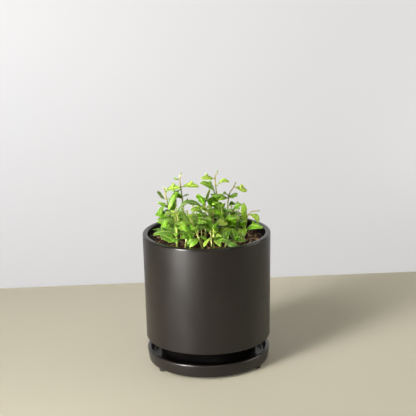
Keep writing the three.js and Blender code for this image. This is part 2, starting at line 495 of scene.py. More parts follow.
@dataclass(frozen=True)
class Humus(Finish):
    """Moist peat and fine bark, sieved: nearly black crumbs with rusty specks."""

    title: str = "moist_peat"
    dark: str = "#0D0603"
    warm: str = "#37190B"
    crumb_mm: float = 1.6
    clod_mm: float = 5.0

    def shader(self, tree: NodeTree) -> Node:
        """Crumbs by cell noise, clods by fractal noise.

        Args:
            tree: the material's node tree.

        Returns:
            Its Principled shader.
        """
        place = add_node(tree, "TexCoord").outputs["Object"]
        crumbs = {"Vector": place, "Scale": per_mm(self.crumb_mm)}
        crumb = add_node(tree, "TexVoronoi", crumbs).outputs["Distance"]
        clods = {"Vector": place, "Scale": per_mm(self.clod_mm), "Detail": 8.0}
        clod = add_node(tree, "TexNoise", clods).outputs["Fac"]
        colour = add_node(tree, "ValToRGB", {"Fac": clod})
        dark, warm = colour.color_ramp.elements
        dark.position, dark.color = 0.42, linear(self.dark)
        warm.position, warm.color = 0.72, linear(self.warm)
        height = add_node(tree, "Math", {0: crumb, 1: clod}, operation="ADD").outputs["Value"]
        bump = add_node(tree, "Bump", {"Height": height, "Distance": 0.9 * MM})
        return add_node(
            tree,
            "BsdfPrincipled",
            {
                "Base Color": colour.outputs["Color"],
                "Roughness": 0.85,
                "Normal": bump.outputs["Normal"],
            },
        )


@dataclass(frozen=True)
class Bark(Finish):
    """Milled pine bark and coir: each chip has its own tone, from black to tan, with grain."""

    title: str = "milled_bark"
    dark: str = "#140904"
    middle: str = "#553018"
    pale: str = "#CBA67C"
    grain_mm: float = 0.6

    def shader(self, tree: NodeTree) -> Node:
        """The chip's tone, shifted by its grain.

        Args:
            tree: the material's node tree.

        Returns:
            Its Principled shader.
        """
        place = add_node(tree, "TexCoord").outputs["Object"]
        graining = {"Vector": place, "Scale": per_mm(self.grain_mm), "Detail": 4.0}
        grain = add_node(tree, "TexNoise", graining).outputs["Fac"]
        tone = add_node(tree, "Attribute", attribute_name="tone").outputs["Fac"]
        span = {"Value": grain, "To Min": -0.18, "To Max": 0.18}
        shift = add_node(tree, "MapRange", span).outputs["Result"]
        total = add_node(tree, "Math", {0: tone, 1: shift}, operation="ADD").outputs["Value"]
        colour = add_node(tree, "ValToRGB", {"Fac": total})
        dark, pale = colour.color_ramp.elements
        dark.color, pale.color = linear(self.dark), linear(self.pale)
        colour.color_ramp.elements.new(0.55).color = linear(self.middle)
        bump = add_node(tree, "Bump", {"Height": grain, "Distance": 0.25 * MM})
        return add_node(
            tree,
            "BsdfPrincipled",
            {
                "Base Color": colour.outputs["Color"],
                "Roughness": 0.75,
                "Specular IOR Level": 0.3,
                "Normal": bump.outputs["Normal"],
            },
        )


@dataclass(frozen=True)
class Skin(Finish):
    """Waxy skin of a green shoot: pale yellow-green, with pinkish patches near its tip."""

    title: str = "young_stem_skin"
    green: str = "#97A547"
    pale: str = "#C2C27E"
    pink: str = "#99694F"
    patch_mm: float = 3.0

    def shader(self, tree: NodeTree) -> Node:
        """Streaks of two greens, and pink patches where the stem is marked for them.

        Args:
            tree: the material's node tree.

        Returns:
            Its Principled shader.
        """
        place = add_node(tree, "TexCoord").outputs["Object"]
        blush = add_node(tree, "Attribute", attribute_name="blush").outputs["Fac"]
        patches = {"Vector": place, "Scale": per_mm(self.patch_mm), "Detail": 3.0}
        patch = add_node(tree, "TexNoise", patches).outputs["Fac"]
        streaks = {"Factor": patch, "A": linear(self.green), "B": linear(self.pale)}
        greens = add_node(tree, "Mix", streaks, data_type="RGBA").outputs["Result"]
        span = {"Value": patch, "From Min": 0.3, "From Max": 0.65}
        spread = add_node(tree, "MapRange", span).outputs["Result"]
        share = {0: blush, 1: spread}
        amount = add_node(tree, "Math", share, operation="MULTIPLY", use_clamp=True)
        flush = {"Factor": amount.outputs["Value"], "A": greens, "B": linear(self.pink)}
        colour = add_node(tree, "Mix", flush, data_type="RGBA")
        bump = add_node(tree, "Bump", {"Height": patch, "Distance": 0.12 * MM})
        return add_node(
            tree,
            "BsdfPrincipled",
            {
                "Base Color": colour.outputs["Result"],
                "Roughness": 0.45,
                "Subsurface Weight": 0.15,
                "Subsurface Radius": (0.9, 1.0, 0.3),
                "Subsurface Scale": 1.0 * MM,
                "Normal": bump.outputs["Normal"],
            },
        )


@dataclass(frozen=True)
class Cuticle(Finish):
    """Waxy cuticle over a fleshy leaf.

    Young leaves are yellow-green and old ones deep green. A pale rib runs along the middle
    between darker bands, and the light that enters the flesh makes the edges glow.
    """

    title: str = "leaf_cuticle"
    young: str = "#8C9E3A"
    grown: str = "#5A900C"
    old: str = "#2A5805"
    rib: str = "#B6BF6A"
    mottle_mm: float = 3.0
    vein_share: float = 0.16  # width of a vein over the half-width of the leaf

    def shader(self, tree: NodeTree) -> Node:
        """Age sets the green; the distance from the rib sets the bands.

        Args:
            tree: the material's node tree.

        Returns:
            Its Principled shader.
        """
        across = add_node(tree, "Attribute", attribute_name="across").outputs["Fac"]
        veins = self._veins(tree, across)
        green = self._green(tree)
        pale = self._paleness(tree, across, veins)
        colours = {"Factor": pale, "A": green, "B": linear(self.rib)}
        colour = add_node(tree, "Mix", colours, data_type="RGBA")
        bumps = {"Height": veins, "Distance": 0.15 * MM, "Strength": 0.6}
        bump = add_node(tree, "Bump", bumps)
        return add_node(
            tree,
            "BsdfPrincipled",
            {
                "Base Color": colour.outputs["Result"],
                "Roughness": 0.34,
                "IOR": 1.36,
                "Subsurface Weight": 0.2,
                "Subsurface Radius": (0.8, 1.0, 0.25),
                "Subsurface Scale": 1.2 * MM,
                "Normal": bump.outputs["Normal"],
            },
        )

    def _green(self, tree: NodeTree) -> NodeSocket:
        """Adds the green of the leaf's age, which drifts a little over its surface.

        Args:
            tree: the material's node tree.

        Returns:
            The colour.
        """
        age = add_node(tree, "Attribute", attribute_name="age").outputs["Fac"]
        place = add_node(tree, "TexCoord").outputs["Object"]
        mottling = {"Vector": place, "Scale": per_mm(self.mottle_mm), "Detail": 4.0}
        mottle = add_node(tree, "TexNoise", mottling).outputs["Fac"]
        span = {"Value": mottle, "To Min": -0.16, "To Max": 0.16}
        drift = add_node(tree, "MapRange", span).outputs["Result"]
        shade = add_node(tree, "Math", {0: age, 1: drift}, operation="ADD").outputs["Value"]
        ramp = add_node(tree, "ValToRGB", {"Fac": shade})
        young, old = ramp.color_ramp.elements
        young.color, old.color = linear(self.young), linear(self.old)
        ramp.color_ramp.elements.new(0.5).color = linear(self.grown)
        return ramp.outputs["Color"]

    def _veins(self, tree: NodeTree, across: NodeSocket) -> NodeSocket:
        """Adds streaks that run along the leaf.

        Args:
            tree: the material's node tree.
            across: the place across the leaf, 0 at the rib.

        Returns:
            Their strength, from 0 to 1.
        """
        along = add_node(tree, "Attribute", attribute_name="along").outputs["Fac"]
        flat = add_node(tree, "CombineXYZ", {"X": along, "Y": across}).outputs["Vector"]
        stretch = {"Vector": flat, "Scale": (1.3, 1 / self.vein_share, 1.0)}
        drawn = add_node(tree, "Mapping", stretch).outputs["Vector"]
        streaks = {"Vector": drawn, "Scale": 1.0, "Detail": 2.0}
        return add_node(tree, "TexNoise", streaks).outputs["Fac"]

    def _paleness(self, tree: NodeTree, across: NodeSocket, veins: NodeSocket) -> NodeSocket:
        """Adds the share of the rib's colour: most on the rib, some at the edges and veins.

        Args:
            tree: the material's node tree.
            across: the place across the leaf, 0 at the rib.
            veins: their strength.

        Returns:
            The share, from 0 to 1.
        """
        off_rib = add_node(tree, "Math", {0: across}, operation="ABSOLUTE").outputs["Value"]
        shares = []
        for value, start, end, first, last, kind in (
            (off_rib, 0.04, 0.3, 0.45, 0.0, "SMOOTHSTEP"),
            (off_rib, 0.72, 1.0, 0.0, 0.3, "SMOOTHSTEP"),
            (veins, 0.45, 0.75, 0.0, 0.28, "LINEAR"),
        ):
            span = {"From Min": start, "From Max": end, "To Min": first, "To Max": last}
            share = add_node(tree, "MapRange", {"Value": value, **span}, interpolation_type=kind)
            shares.append(share.outputs["Result"])
        rib, edge, vein = shares
        pale = add_node(tree, "Math", {0: rib, 1: edge}, operation="MAXIMUM").outputs["Value"]
        return add_node(tree, "Math", {0: pale, 1: vein}, operation="MAXIMUM").outputs["Value"]


@dataclass(frozen=True)
class Backdrop(Finish):
    """Smooth painted board for the table top and the wall of the studio."""

    title: str
    colour: str

    def shader(self, tree: NodeTree) -> Node:
        """One even coat of paint."""
        coat = {"Base Color": linear(self.colour), "Roughness": 0.7, "Specular IOR Level": 0.2}
        return add_node(tree, "BsdfPrincipled", coat)


# ---------------------------------------------------------------------------------------------
# Pot, saucer, pads and potting mix
# ---------------------------------------------------------------------------------------------


@dataclass
class Pot:
    """The cylinder pot: a tapered wall with a full-round lip, on a narrower foot."""

    wall: float = 5.5
    lower_radius: float = 65.1
    underside: float = 28.0
    floor: float = 34.0
    foot_radius: float = 50.0
    foot_wall: float = 5.0
    drain_radius: float = 8.0
    lip: float = 1.6
    lower_edge: float = 1.6
    cove: float = 6.0
    foot_edge: float = 0.8
    foot_cove: float = 1.2
    glaze: Finish = field(default_factory=MatteGlaze)
    foot_glaze: Finish = field(default_factory=GlossGlaze)
    lip_glaze: Finish = field(default_factory=WornGlaze)

    def build(self) -> list[Object]:
        """Models and dresses the pot.

        Returns:
            The one finished piece, which stands for the CAD pot.
        """
        low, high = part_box("pot")
        rim, foot = high.z / MM, low.z / MM
        rim_radius = high.x / MM
        pot = new_primitive(
            bpy.ops.mesh.primitive_cylinder_add,
            "pot_thrown",
            vertices=ROUND_SIDES,
            radius=self.lower_radius * MM,
            depth=(rim - self.underside) * MM,
            location=(0, 0, (rim + self.underside) / 2 * MM),
        )
        for finish in (self.glaze, self.foot_glaze, self.lip_glaze):
            finish.put_on(pot)
        with editing(pot):
            self._hollow(pot, rim, rim_radius)
            self._foot(pot, foot)
            self._drain(pot)
            self._round(pot, rim, rim_radius, foot)
            # the underside and foot take the darker gloss glaze, whose extra darkness is painted
            # shade for the gap above the saucer
            glaze_faces(pot, 1, lambda p: p.z < (self.underside + 0.3) * MM)
            glaze_faces(pot, 2, lambda p: p.z > (rim - self.lip * 0.98) * MM)
        finish_piece(pot, "pot")
        return [pot]

    def _hollow(self, pot: Object, rim: float, rim_radius: float) -> None:
        """Tapers the wall and sinks the inside.

        Args:
            pot: the object being edited.
            rim: height of the rim, in millimetres.
            rim_radius: outer radius there, in millimetres.
        """
        pick(pot, Domain.VERT, on_ring(self.lower_radius, rim))
        widen(rim_radius / self.lower_radius, rim)
        pick(pot, Domain.FACE, in_disc(rim, 1.0))
        bpy.ops.mesh.inset(thickness=self.wall * MM)
        extrude_up(self.floor - rim)
        widen((self.lower_radius - self.wall) / (rim_radius - self.wall), self.floor)

    def _foot(self, pot: Object, foot: float) -> None:
        """Draws the narrower foot ring down from the underside.

        Args:
            pot: the object being edited.
            foot: height of its lower end, in millimetres.
        """
        pick(pot, Domain.FACE, in_disc(self.underside, 1.0))
        bpy.ops.mesh.inset(thickness=(self.lower_radius - self.foot_radius) * MM)
        extrude_up(foot - self.underside)
        bpy.ops.mesh.inset(thickness=self.foot_wall * MM)
        extrude_up(self.underside - foot)

    def _drain(self, pot: Object) -> None:
        """Opens the drain hole through the floor.

        Args:
            pot: the object being edited.
        """
        inside = self.lower_radius - self.wall
        under = self.foot_radius - self.foot_wall
        for height, radius in ((self.floor, inside), (self.underside, under)):
            pick(pot, Domain.FACE, in_disc(height, 1.0))
            bpy.ops.mesh.inset(thickness=(radius - self.drain_radius) * MM)
            bpy.ops.mesh.delete(type="ONLY_FACE")
        upper = on_ring(self.drain_radius, self.floor)
        lower = on_ring(self.drain_radius, self.underside)
        pick(pot, Domain.EDGE, lambda point: upper(point) or lower(point))
        bpy.ops.mesh.bridge_edge_loops()

    def _round(self, pot: Object, rim: float, rim_radius: float, foot: float) -> None:
        """Rounds the lip, the lower edge, the cove inside and the foot.

        Args:
            pot: the object being edited.
            rim: height of the rim, in millimetres.
            rim_radius: outer radius there, in millimetres.
            foot: height of the foot's lower end, in millimetres.
        """
        inner, outer = on_ring(rim_radius - self.wall, rim), on_ring(rim_radius, rim)
        pick(pot, Domain.EDGE, lambda point: inner(point) or outer(point))
        bpy.ops.mesh.bevel(offset=self.lip * MM, segments=6, profile=0.5, affect="EDGES")
        round_ring(pot, self.lower_radius, self.underside, self.lower_edge, 5)
        round_ring(pot, self.lower_radius - self.wall, self.floor, self.cove, 6)
        round_ring(pot, self.foot_radius, foot, self.foot_edge, 3)
        round_ring(pot, self.foot_radius - self.foot_wall, foot, self.foot_edge, 3)
        round_ring(pot, self.foot_radius, self.underside, self.foot_cove, 3)


@dataclass
class Saucer:
    """The shallow dish: matt outside, glossy where the water stands."""

    wall: float = 4.0
    base_radius: float = 63.0
    floor_thickness: float = 4.0
    cove: float = 2.2
    lower_edge: float = 1.5
    matt: Finish = field(default_factory=MatteGlaze)
    gloss: Finish = field(default_factory=GlossGlaze)
    lip_glaze: Finish = field(default_factory=WornGlaze)

    def build(self) -> list[Object]:
        """Models and dresses the saucer.

        Returns:
            The one finished piece, which stands for the CAD saucer.
        """
        low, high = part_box("saucer")
        base, rim, rim_radius = low.z / MM, high.z / MM, high.x / MM
        floor = base + self.floor_thickness
        saucer = new_primitive(
            bpy.ops.mesh.primitive_cylinder_add,
            "saucer_thrown",
            vertices=ROUND_SIDES,
            radius=self.base_radius * MM,
            depth=(rim - base) * MM,
            location=(0, 0, (rim + base) / 2 * MM),
        )
        for finish in (self.matt, self.gloss, self.lip_glaze):
            finish.put_on(saucer)
        with editing(saucer):
            pick(saucer, Domain.VERT, on_ring(self.base_radius, rim))
            widen(rim_radius / self.base_radius, rim)
            pick(saucer, Domain.FACE, in_disc(rim, 1.0))
            bpy.ops.mesh.inset(thickness=self.wall * MM)
            extrude_up(floor - rim)
            inside = self.base_radius - self.wall
            widen(inside / (rim_radius - self.wall), floor)
            bpy.ops.mesh.inset(thickness=inside * 0.5 * MM)
            inner = on_ring(rim_radius - self.wall, rim)
            outer = on_ring(rim_radius, rim)
            pick(saucer, Domain.EDGE, lambda point: inner(point) or outer(point))
            round_size = self.wall * 0.49  # nearly half the wall, for a full-round lip
            bpy.ops.mesh.bevel(offset=round_size * MM, segments=8, profile=0.5, affect="EDGES")
            round_ring(saucer, inside, floor, self.cove, 5)
            round_ring(saucer, self.base_radius, base, self.lower_edge, 4)
            # the inside takes the darker gloss glaze, whose extra darkness is painted shade for the
            # gap under the pot
            edge = rim_radius - self.wall * 0.6
            above = (floor - 0.1) * MM
            glaze_faces(saucer, 1, lambda p: math.hypot(p.x, p.y) < edge * MM and p.z > above)
            glaze_faces(saucer, 2, lambda p: p.z > (rim - self.wall * 0.3) * MM)
        finish_piece(saucer, "saucer")
        return [saucer]


@dataclass
class Pads:
    """The small rubber pads stuck under the saucer."""

    names: tuple[str, ...] = ("pad_left", "pad_right", "pad_rear")
    edge: float = 0.5
    dish: float = 0.3
    rubber: Finish = field(default_factory=PadRubber)

    def build(self) -> list[Object]:
        """Models every pad."""
        return [self._pad(name) for name in self.names]

    def _pad(self, name: str) -> Object:
        """Models one pad: a disc with a soft edge and a slightly dished foot.

        Args:
            name: of the CAD pad that it stands for.

        Returns:
            The finished pad.
        """
        low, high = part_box(name)
        middle = (low + high) / 2
        radius = (high.x - low.x) / 2
        pad = new_primitive(
            bpy.ops.mesh.primitive_cylinder_add,
            f"{name}_rubber",
            vertices=48,
            radius=radius,
            depth=high.z - low.z,
            location=middle,
        )
        with editing(pad):
            pick(pad, Domain.EDGE, lambda p: abs(p.z - middle.z) > (high.z - low.z) * 0.4)
            bpy.ops.mesh.bevel(offset=self.edge * MM, segments=3, affect="EDGES")
            pick(pad, Domain.FACE, lambda p: p.z < low.z + 0.01 * MM)
            bpy.ops.mesh.inset(thickness=radius * 0.4)
            extrude_up(self.dish)
        self.rubber.put_on(pad)
        finish_piece(pad, name)
        return pad


@dataclass(frozen=True)
class Litter:
    """One kind of loose bit on the potting mix."""

    name: str
    count: int
    sizes: tuple[float, float]  # smallest and largest length, in millimetres
    flatness: float  # width and thickness over the length, roughly
    tones: tuple[float, float]  # darkest and palest, from 0 to 1


LITTER = (
    Litter("bark_chips", 900, (1.6, 5.5), 0.45, (0.0, 0.9)),
    Litter("pale_grains", 150, (1.0, 2.4), 0.8, (0.8, 1.0)),
    Litter("coir_fibres", 70, (5.0, 12.0), 0.09, (0.45, 0.85)),
)


@dataclass
class PottingMix:
    """The plug of potting mix: a crumbly body with loose bark, fibres and pale grains on top."""

    rings: int = 22
    sides: int = 120
    clod_mm: float = 9.0
    clod_height: float = 1.3
    clods_above: float = 2.2  # how far the highest clods stand over the plug's even top
    tilt: float = 0.02  # it lies higher on the left
    cove: float = 6.0
    free_rim: float = 1.5  # ring inside the pot where nothing loose lies
    seed: int = 11
    humus: Finish = field(default_factory=Humus)
    bark: Finish = field(default_factory=Bark)
    top: float = 0.0
    radius: float = 0.0
    bottom: float = 0.0

    def __post_init__(self) -> None:
        """Reads the plug's size from the frame."""
        low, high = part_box("potting_mix")
        self.bottom, self.radius = low.z / MM, high.x / MM
        self.top = high.z / MM - self.clods_above

    def height(self, x: float, y: float) -> float:
        """Height of the surface, in millimetres, at a place in millimetres."""
        clods = noise.fractal(Vector((x, y, 0)) / self.clod_mm, 1.0, 2.0, 4)
        return self.top + self.clod_height * clods - self.tilt * x

    def build(self) -> list[Object]:
        """Models the body and what lies loose on it."""
        draw = random.Random(self.seed)
        return [self._body(), *(self._scatter(litter, draw) for litter in LITTER)]

    def _body(self) -> Object:
        """Models a plug with a cove below and a rough top.

        Returns:
            The finished plug.
        """
        body = new_primitive(
            bpy.ops.mesh.primitive_cylinder_add,
            "potting_mix_body",
            vertices=self.sides,
            radius=self.radius * MM,
            depth=(self.top - self.bottom) * MM,
            location=(0, 0, (self.top + self.bottom) / 2 * MM),
        )
        with editing(body):
            pick(body, Domain.VERT, on_ring(self.radius, self.bottom))
            widen(0.975, self.bottom)
            pick(body, Domain.FACE, in_disc(self.top, 1.0))
            for _ in range(self.rings):
                bpy.ops.mesh.inset(thickness=self.radius / (self.rings + 1) * MM)
            bpy.ops.mesh.poke()
            pick(body, Domain.EDGE, lambda p: abs(p.z - self.bottom * MM) < 0.1 * MM)
            bpy.ops.mesh.bevel(offset=self.cove * MM, segments=3, affect="EDGES")
        points = points_of(body.data)
        for point in points:
            if abs(point[2] - self.top * MM) < 0.01 * MM:
                point[2] = self.height(point[0] / MM, point[1] / MM) * MM
        set_points(body.data, points)
        self.humus.put_on(body)
        finish_piece(body, "potting_mix")
        return body

    def _scatter(self, litter: Litter, draw: random.Random) -> Object:
        """Strews one kind of loose bit over the surface and joins the bits.

        Args:
            litter: the kind.
            draw: the seeded source of chance.

        Returns:
            The joined bits.
        """
        names = (f"{litter.name}_{number}" for number in range(5))
        masters = [self._bit(name, draw.randrange(1000)) for name in names]
        bits = []
        reach = self.radius - self.free_rim
        for _ in range(litter.count):
            length = draw.uniform(*litter.sizes) * draw.uniform(0.6, 1)
            spread = (reach - length / 2) * math.sqrt(draw.random())
            angle = draw.uniform(0, math.tau)
            x, y = spread * math.cos(angle), spread * math.sin(angle)
            thick = max(0.35, length * litter.flatness * draw.uniform(0.5, 0.9))
            shape = Matrix.Diagonal((length / 2, max(0.5, length * litter.flatness), thick / 2, 1))
            turn = (
                Matrix.Rotation(draw.uniform(0, math.tau), 4, "Z")
                @ Matrix.Rotation(draw.gauss(0, 0.35), 4, "X")
                @ Matrix.Rotation(draw.gauss(0, 0.3), 4, "Y")
            )
            lift = self.height(x, y) + draw.uniform(-0.1, 0.5) * thick
            place = Matrix.Translation((x, y, lift))
            bit = draw.choice(masters).copy()
            bit.data = bit.data.copy()
            bit.data.transform(Matrix.Scale(MM, 4) @ place @ turn @ shape)
            mark(bit, "tone", draw.uniform(*litter.tones))
            bpy.context.collection.objects.link(bit)
            bits.append(bit)
        for master in masters:
            bpy.data.objects.remove(master)
        joined = join(bits, litter.name)
        self.bark.put_on(joined)
        finish_piece(joined)
        return joined

    def _bit(self, name: str, seed: int) -> Object:
        """A broken chip of unit size: a cube with chipped corners, knocked out of true.

        Args:
            name: of the new object.
            seed: of the knocks.

        Returns:
            The chip.
        """
        bit = new_primitive(bpy.ops.mesh.primitive_cube_add, name, size=2)
        with editing(bit):
            bpy.ops.mesh.select_all(action="SELECT")
            bpy.ops.mesh.bevel(offset=0.45, segments=1, affect="EDGES")
            bpy.ops.transform.vertex_random(offset=0.22, seed=seed)
        return bit


# ---------------------------------------------------------------------------------------------
# Stems and leaves
# ---------------------------------------------------------------------------------------------


def rings_of(node: str, first: Callable[[BMesh], list[BMVert]]) -> list[Points]:
    """The rings of points that a swept CAD solid was made of, from one end to the other.

    Args:
        node: the CAD node.
        first: picks the points of the ring, or the pole, to start from.

    Returns:
        The points of each ring, in metres.
    """
    shape = bmesh.new()
    shape.from_mesh(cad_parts[node].data)
    bmesh.ops.remove_doubles(shape, verts=shape.verts, dist=0.002 * MM)
    layer = first(shape)
    seen = set(layer)
    rings = []
    while layer:
        rings.append(np.array([vert.co[:] for vert in layer]))
        beyond = {edge.other_vert(vert) for vert in layer for edge in vert.link_edges} - seen
        seen |= beyond
        layer = sorted(beyond, key=lambda vert: vert.index)
    shape.free()
    return rings


def spline(points: Points, where: Points) -> Points:
    """Reads a smooth curve through rows of numbers.

    Args:
        points: rows that the curve passes through, evenly spread along it.
        where: places along it, from 0 to 1.

    Returns:
        One row for each place.
    """
    padded = np.vstack([2 * points[0] - points[1], points, 2 * points[-1] - points[-2]])
    span = np.clip(np.asarray(where, dtype=float), 0, 1) * (len(points) - 1)
    start = np.minimum(span.astype(int), len(points) - 2)
    u = (span - start)[:, None]
    a, b, c, d = (padded[start + k] for k in range(4))
    straight, square, cube = c - a, 2 * a - 5 * b + 4 * c - d, 3 * b - a - 3 * c + d
    return 0.5 * (2 * b + straight * u + square * u**2 + cube * u**3)


def unit(rows: Points) -> Points:
    """Rows scaled to length one."""
    return rows / np.maximum(np.linalg.norm(rows, axis=-1, keepdims=True), 1e-12)


@dataclass
class LeafPath:
    """Where a leaf runs: its middle line, and the way it faces along that line."""

    line: Points
    sides: Points
    width: float
    fins: tuple[int, ...]
    age: float

    def samples(self) -> Points:
        """Points spread over the blade, for keeping others clear of it.

        Returns:
            Five rows of points from side to side.
        """
        where = np.linspace(0.22, 1, 8)
        half = np.array([0.5, 0.8, 1, 1, 1, 0.9, 0.7, 0.2]) * self.width / 2 * MM
        centre = spline(self.line, where)
        reach = unit(spline(self.sides, where)) * half[:, None]
        return np.vstack([centre + reach * share for share in (-1, -0.5, 0, 0.5, 1)])


@dataclass
class Leaf:
    """A fleshy leaf: a lance-shaped blade on a short stalk, with small pointed fins."""

    sections: int = 18
    stations: int = 36
    thickness: float = 1.3
    stalk: float = 0.55
    groove: float = 0.22
    fin_out: float = 1.0
    fin_up: float = 2.2
    fin_base: float = 2.3
    fin_places: tuple[float, float] = (0.48, 0.6)
    root_powers: tuple[float, float] = (0.62, 0.88)  # how slenderly blades start
    tip_powers: tuple[float, float] = (0.56, 0.78)  # how sharply they end
    cups: tuple[float, float] = (-0.3, 0.34)  # how far their edges rise, over the half-width
    cuticle: Finish = field(default_factory=Cuticle)

    def build(self, name: str, path: LeafPath, draw: random.Random) -> Object:
        """Models one leaf on its path.

        Args:
            name: of the new piece.
            path: where it runs.
            draw: the seeded source of small differences between leaves.

        Returns:
            The leaf, not yet tied to the frame.
        """
        leaf = new_primitive(
            bpy.ops.mesh.primitive_uv_sphere_add,
            name,
            segments=self.sections,
            ring_count=self.stations,
            radius=1,
        )
        ball = points_of(leaf.data)
        along = 1 - np.arccos(np.clip(ball[:, 2], -1, 1)) / math.pi
        around = np.arctan2(ball[:, 1], ball[:, 0])
        across, over = np.cos(around), np.sin(around)
        share = self._share(along, draw.uniform(*self.root_powers), draw.uniform(*self.tip_powers))
        half_width = np.maximum(self.stalk, share * path.width / 2)
        ends = np.sqrt(np.clip(1 - np.abs(2 * along - 1) ** 30, 0, 1))
        half_thick = np.maximum(self.stalk * 0.9, share**0.6 * self.thickness / 2)
        inward = np.abs(across) ** 1.6
        lift = over * half_thick * (1 - 0.5 * inward)
        lift += draw.uniform(*self.cups) * half_width * inward * share
        lift -= self.groove * np.exp(-((across / 0.2) ** 2)) * share * (over > 0)
        reach = across * half_width
        fin_at = draw.uniform(*self.fin_places)
        long = float(np.linalg.norm(np.diff(path.line, axis=0), axis=1).sum()) / MM
        for side in path.fins:
            tooth = np.clip(1 - np.abs(along - fin_at) * 2 * long / self.fin_base, 0, 1)
            rise = np.clip((across * side - 0.5) / 0.5, 0, 1) * tooth
            reach += side * self.fin_out * rise
            lift += self.fin_up * rise
        wave = 0.2 * np.sin(along * draw.uniform(9, 14) + draw.uniform(0, 6)) * across**2 * share
        lift += wave * path.width / 5

        centre = spline(path.line, along)
        ahead = unit(spline(path.line, along + 0.02) - spline(path.line, along - 0.02))
        side_way = unit(spline(path.sides, along))
        side_way = unit(side_way - ahead * np.sum(side_way * ahead, axis=1, keepdims=True))
        up_way = np.cross(side_way, ahead)
        off_line = side_way * (reach * ends * MM)[:, None] + up_way * (lift * ends * MM)[:, None]
        set_points(leaf.data, centre + off_line)
        mark(leaf, "along", along)
        mark(leaf, "across", np.where(over > -0.3, across, np.sign(across) * 0.5))
        mark(leaf, "age", path.age)
        self.cuticle.put_on(leaf)
        return leaf

    @staticmethod
    def _share(along: Points, root_power: float, tip_power: float) -> Points:
        """Half-width over the widest half-width, along the leaf.

        Args:
            along: places from the foot, 0, to the tip, 1.
            root_power: how slenderly the blade starts.
            tip_power: how sharply it ends.

        Returns:
            One share for each place.
        """
        start = 0.09
        blade = np.clip((along - start) / (1 - start), 0, 1)
        peak = root_power / (root_power + tip_power)
        return (blade / peak) ** root_power * ((1 - blade) / (1 - peak)) ** tip_power


@dataclass
class Stem:
    """One upright shoot: a tapering stem, swollen where its leaves join."""

    name: str
    line: Points
    tip_age: float = 0.1
    base_radius: float = 1.05
    tip_radius: float = 0.6
    sides: int = 14
    rings: int = 80
    swelling: float = 0.22  # of the radius at a joint
    swollen: float = 0.9  # half the length of a swelling
    ageing: float = 66.0  # length of stem from a new leaf to an old one
    skin: Finish = field(default_factory=Skin)
    joints: list[float] = field(default_factory=list)

    def nearest(self, point: Points) -> float:
        """The place along the stem that is nearest to a point.

        Args:
            point: in metres.

        Returns:
            The place, from 0 to 1.
        """
        where = np.linspace(0, 1, 200)
        gaps = np.linalg.norm(spline(self.line, where) - point, axis=1)
        return float(where[gaps.argmin()])

    def at(self, where: float) -> Points:
        """The point of the middle line at a place from 0 to 1."""
        return spline(self.line, np.array([where]))[0]

    def length(self) -> float:
        """Length of the middle line, in millimetres."""
        return float(np.linalg.norm(np.diff(self.line, axis=0), axis=1).sum()) / MM

    def age(self, place: float) -> float:
        """How old a leaf is, from 0 for the youngest to 1 at the foot of a long stem."""
        return min(1.0, self.tip_age + (1 - place) * self.length() / self.ageing)

    def build(self) -> Object:
        """Models the stem once its leaves have marked their joints.

        Returns:
            The stem, not yet tied to the frame.
        """
        stem = new_primitive(
            bpy.ops.mesh.primitive_cylinder_add,
            f"stem_{self.name}_grown",
            vertices=self.sides,
            radius=1,
            depth=1,
            end_fill_type="TRIFAN",
        )
        with editing(stem):
            pick(stem, Domain.EDGE, lambda p: abs(p.z) < 0.01)
            bpy.ops.mesh.subdivide(number_cuts=self.rings)
        pin = points_of(stem.data)
        along = pin[:, 2] + 0.5
        radius = self.base_radius + (self.tip_radius - self.base_radius) * along
        for joint in self.joints:
            off_joint = (along - joint) * self.length() / self.swollen
            radius = radius + self.swelling * np.exp(-(off_joint**2))
        past_tip = np.clip((along - 0.97) / 0.03, 0, 1)
        radius = radius * np.sqrt(np.clip(1 - past_tip**2 * 0.9, 0, 1))
        centre = spline(self.line, along)
        ahead = unit(spline(self.line, along + 0.01) - spline(self.line, along - 0.01))
        first = unit(np.cross(ahead, np.array([0.0, 1.0, 0.0])))
        second = np.cross(ahead, first)
        moved = centre + (first * pin[:, :1] + second * pin[:, 1:2]) * (radius * MM)[:, None]
        set_points(stem.data, moved)
        with editing(stem):
            bpy.ops.mesh.select_all(action="SELECT")
            bpy.ops.mesh.normals_make_consistent(inside=False)
        mark(stem, "blush", np.clip((along - 0.45) / 0.55, 0, 1) * (1 - self.tip_age) ** 2)
        self.skin.put_on(stem)
        return stem


@dataclass(frozen=True)
class Sprout:
    """A short shoot between the tall ones. Places are in millimetres."""

    name: str
    foot: tuple[float, float]
    tip: tuple[float, float, float]
    leaf_length: float = 17.0
    tip_age: float = 0.35

    def stem(self, soil: float) -> Stem:
        """The sprout's stem, rooted a little below the soil.

        Args:
            soil: height of the mix, in millimetres.

        Returns:
            A slender stem that bends as it rises.
        """
        foot = np.array([*self.foot, soil - 8.0])
        tip = np.array(self.tip)
        where = np.linspace(0, 1, 9)[:, None]
        lean = np.array([tip[0] - foot[0], tip[1] - foot[1], 0.0]) * 0.3
        line = foot + (tip - foot) * where - lean * 4 * where * (1 - where)
        return Stem(self.name, line * MM, self.tip_age, base_radius=0.85, tip_radius=0.5, rings=40)


